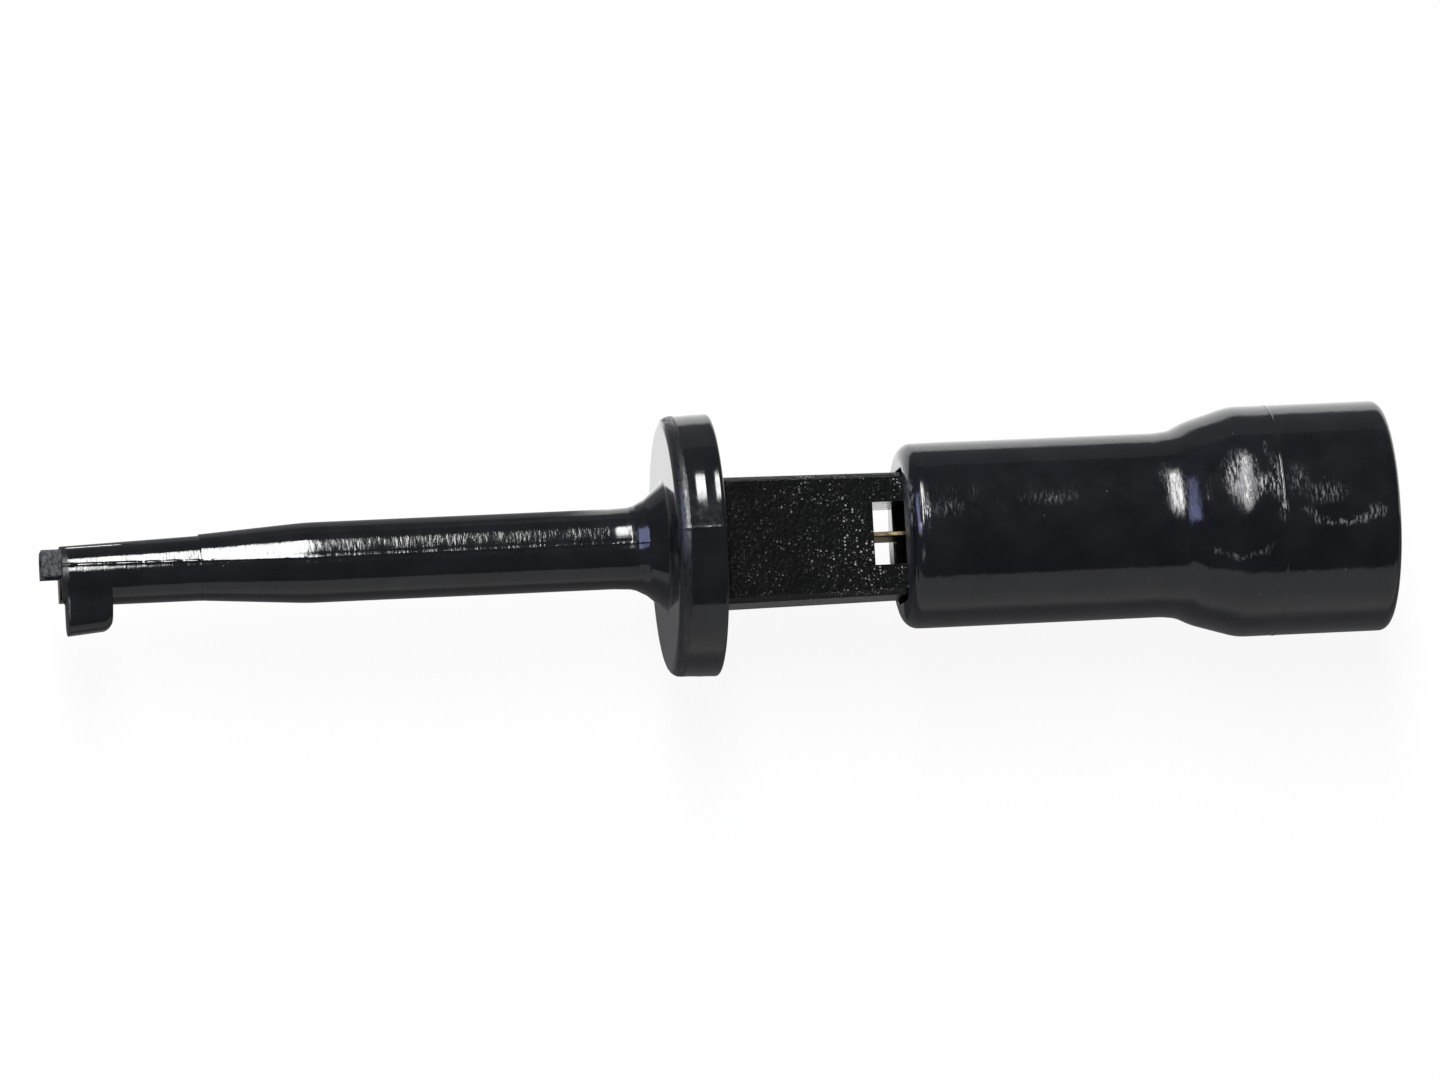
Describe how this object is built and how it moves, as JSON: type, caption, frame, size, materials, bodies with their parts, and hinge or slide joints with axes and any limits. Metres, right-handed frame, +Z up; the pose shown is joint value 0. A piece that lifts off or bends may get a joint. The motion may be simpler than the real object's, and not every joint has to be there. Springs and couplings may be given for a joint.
{
  "type": "grabber test hook",
  "caption": "Plunger-action grabber test hook: slender nose with hood and anvil foot, finger flange, windowed guide block, and a sprung sleeve that pushes out a metal hook.",
  "frame": {"origin": "on the surface that the hook lies on, below the middle of its length and of its width", "axes": "+X along the hook from nose to thumb end, -Y the way the foot and the hook's leg point, +Z up, through the guide block's window"},
  "size_m": [0.057, 0.011, 0.0111],
  "materials": {
    "nose_black": "polished black nylon",
    "guide_black": "spark-textured black nylon",
    "contact_gold": "gold-plated spring strip",
    "terminal_brass": "turned brass",
    "spring_steel": "drawn spring wire",
    "plunger_black": "polished black nylon, scuffed at the thumb end"
  },
  "bodies": {
    "barrel": {"nose_barrel": "nose_black", "guide_block": "guide_black", "return_spring": "spring_steel"},
    "plunger": {"plunger_sleeve": "plunger_black", "hook_contact": "contact_gold", "solder_terminal": "terminal_brass"}
  },
  "joints": [
    {"name": "plunger_slide", "type": "slide", "parent": "barrel", "child": "plunger", "axis": [-1, 0, 0], "range_m": [0, 0.0058], "stiffness_N_per_m": 500, "springref_m": -0.003, "deforming": ["return_spring"]}
  ]
}
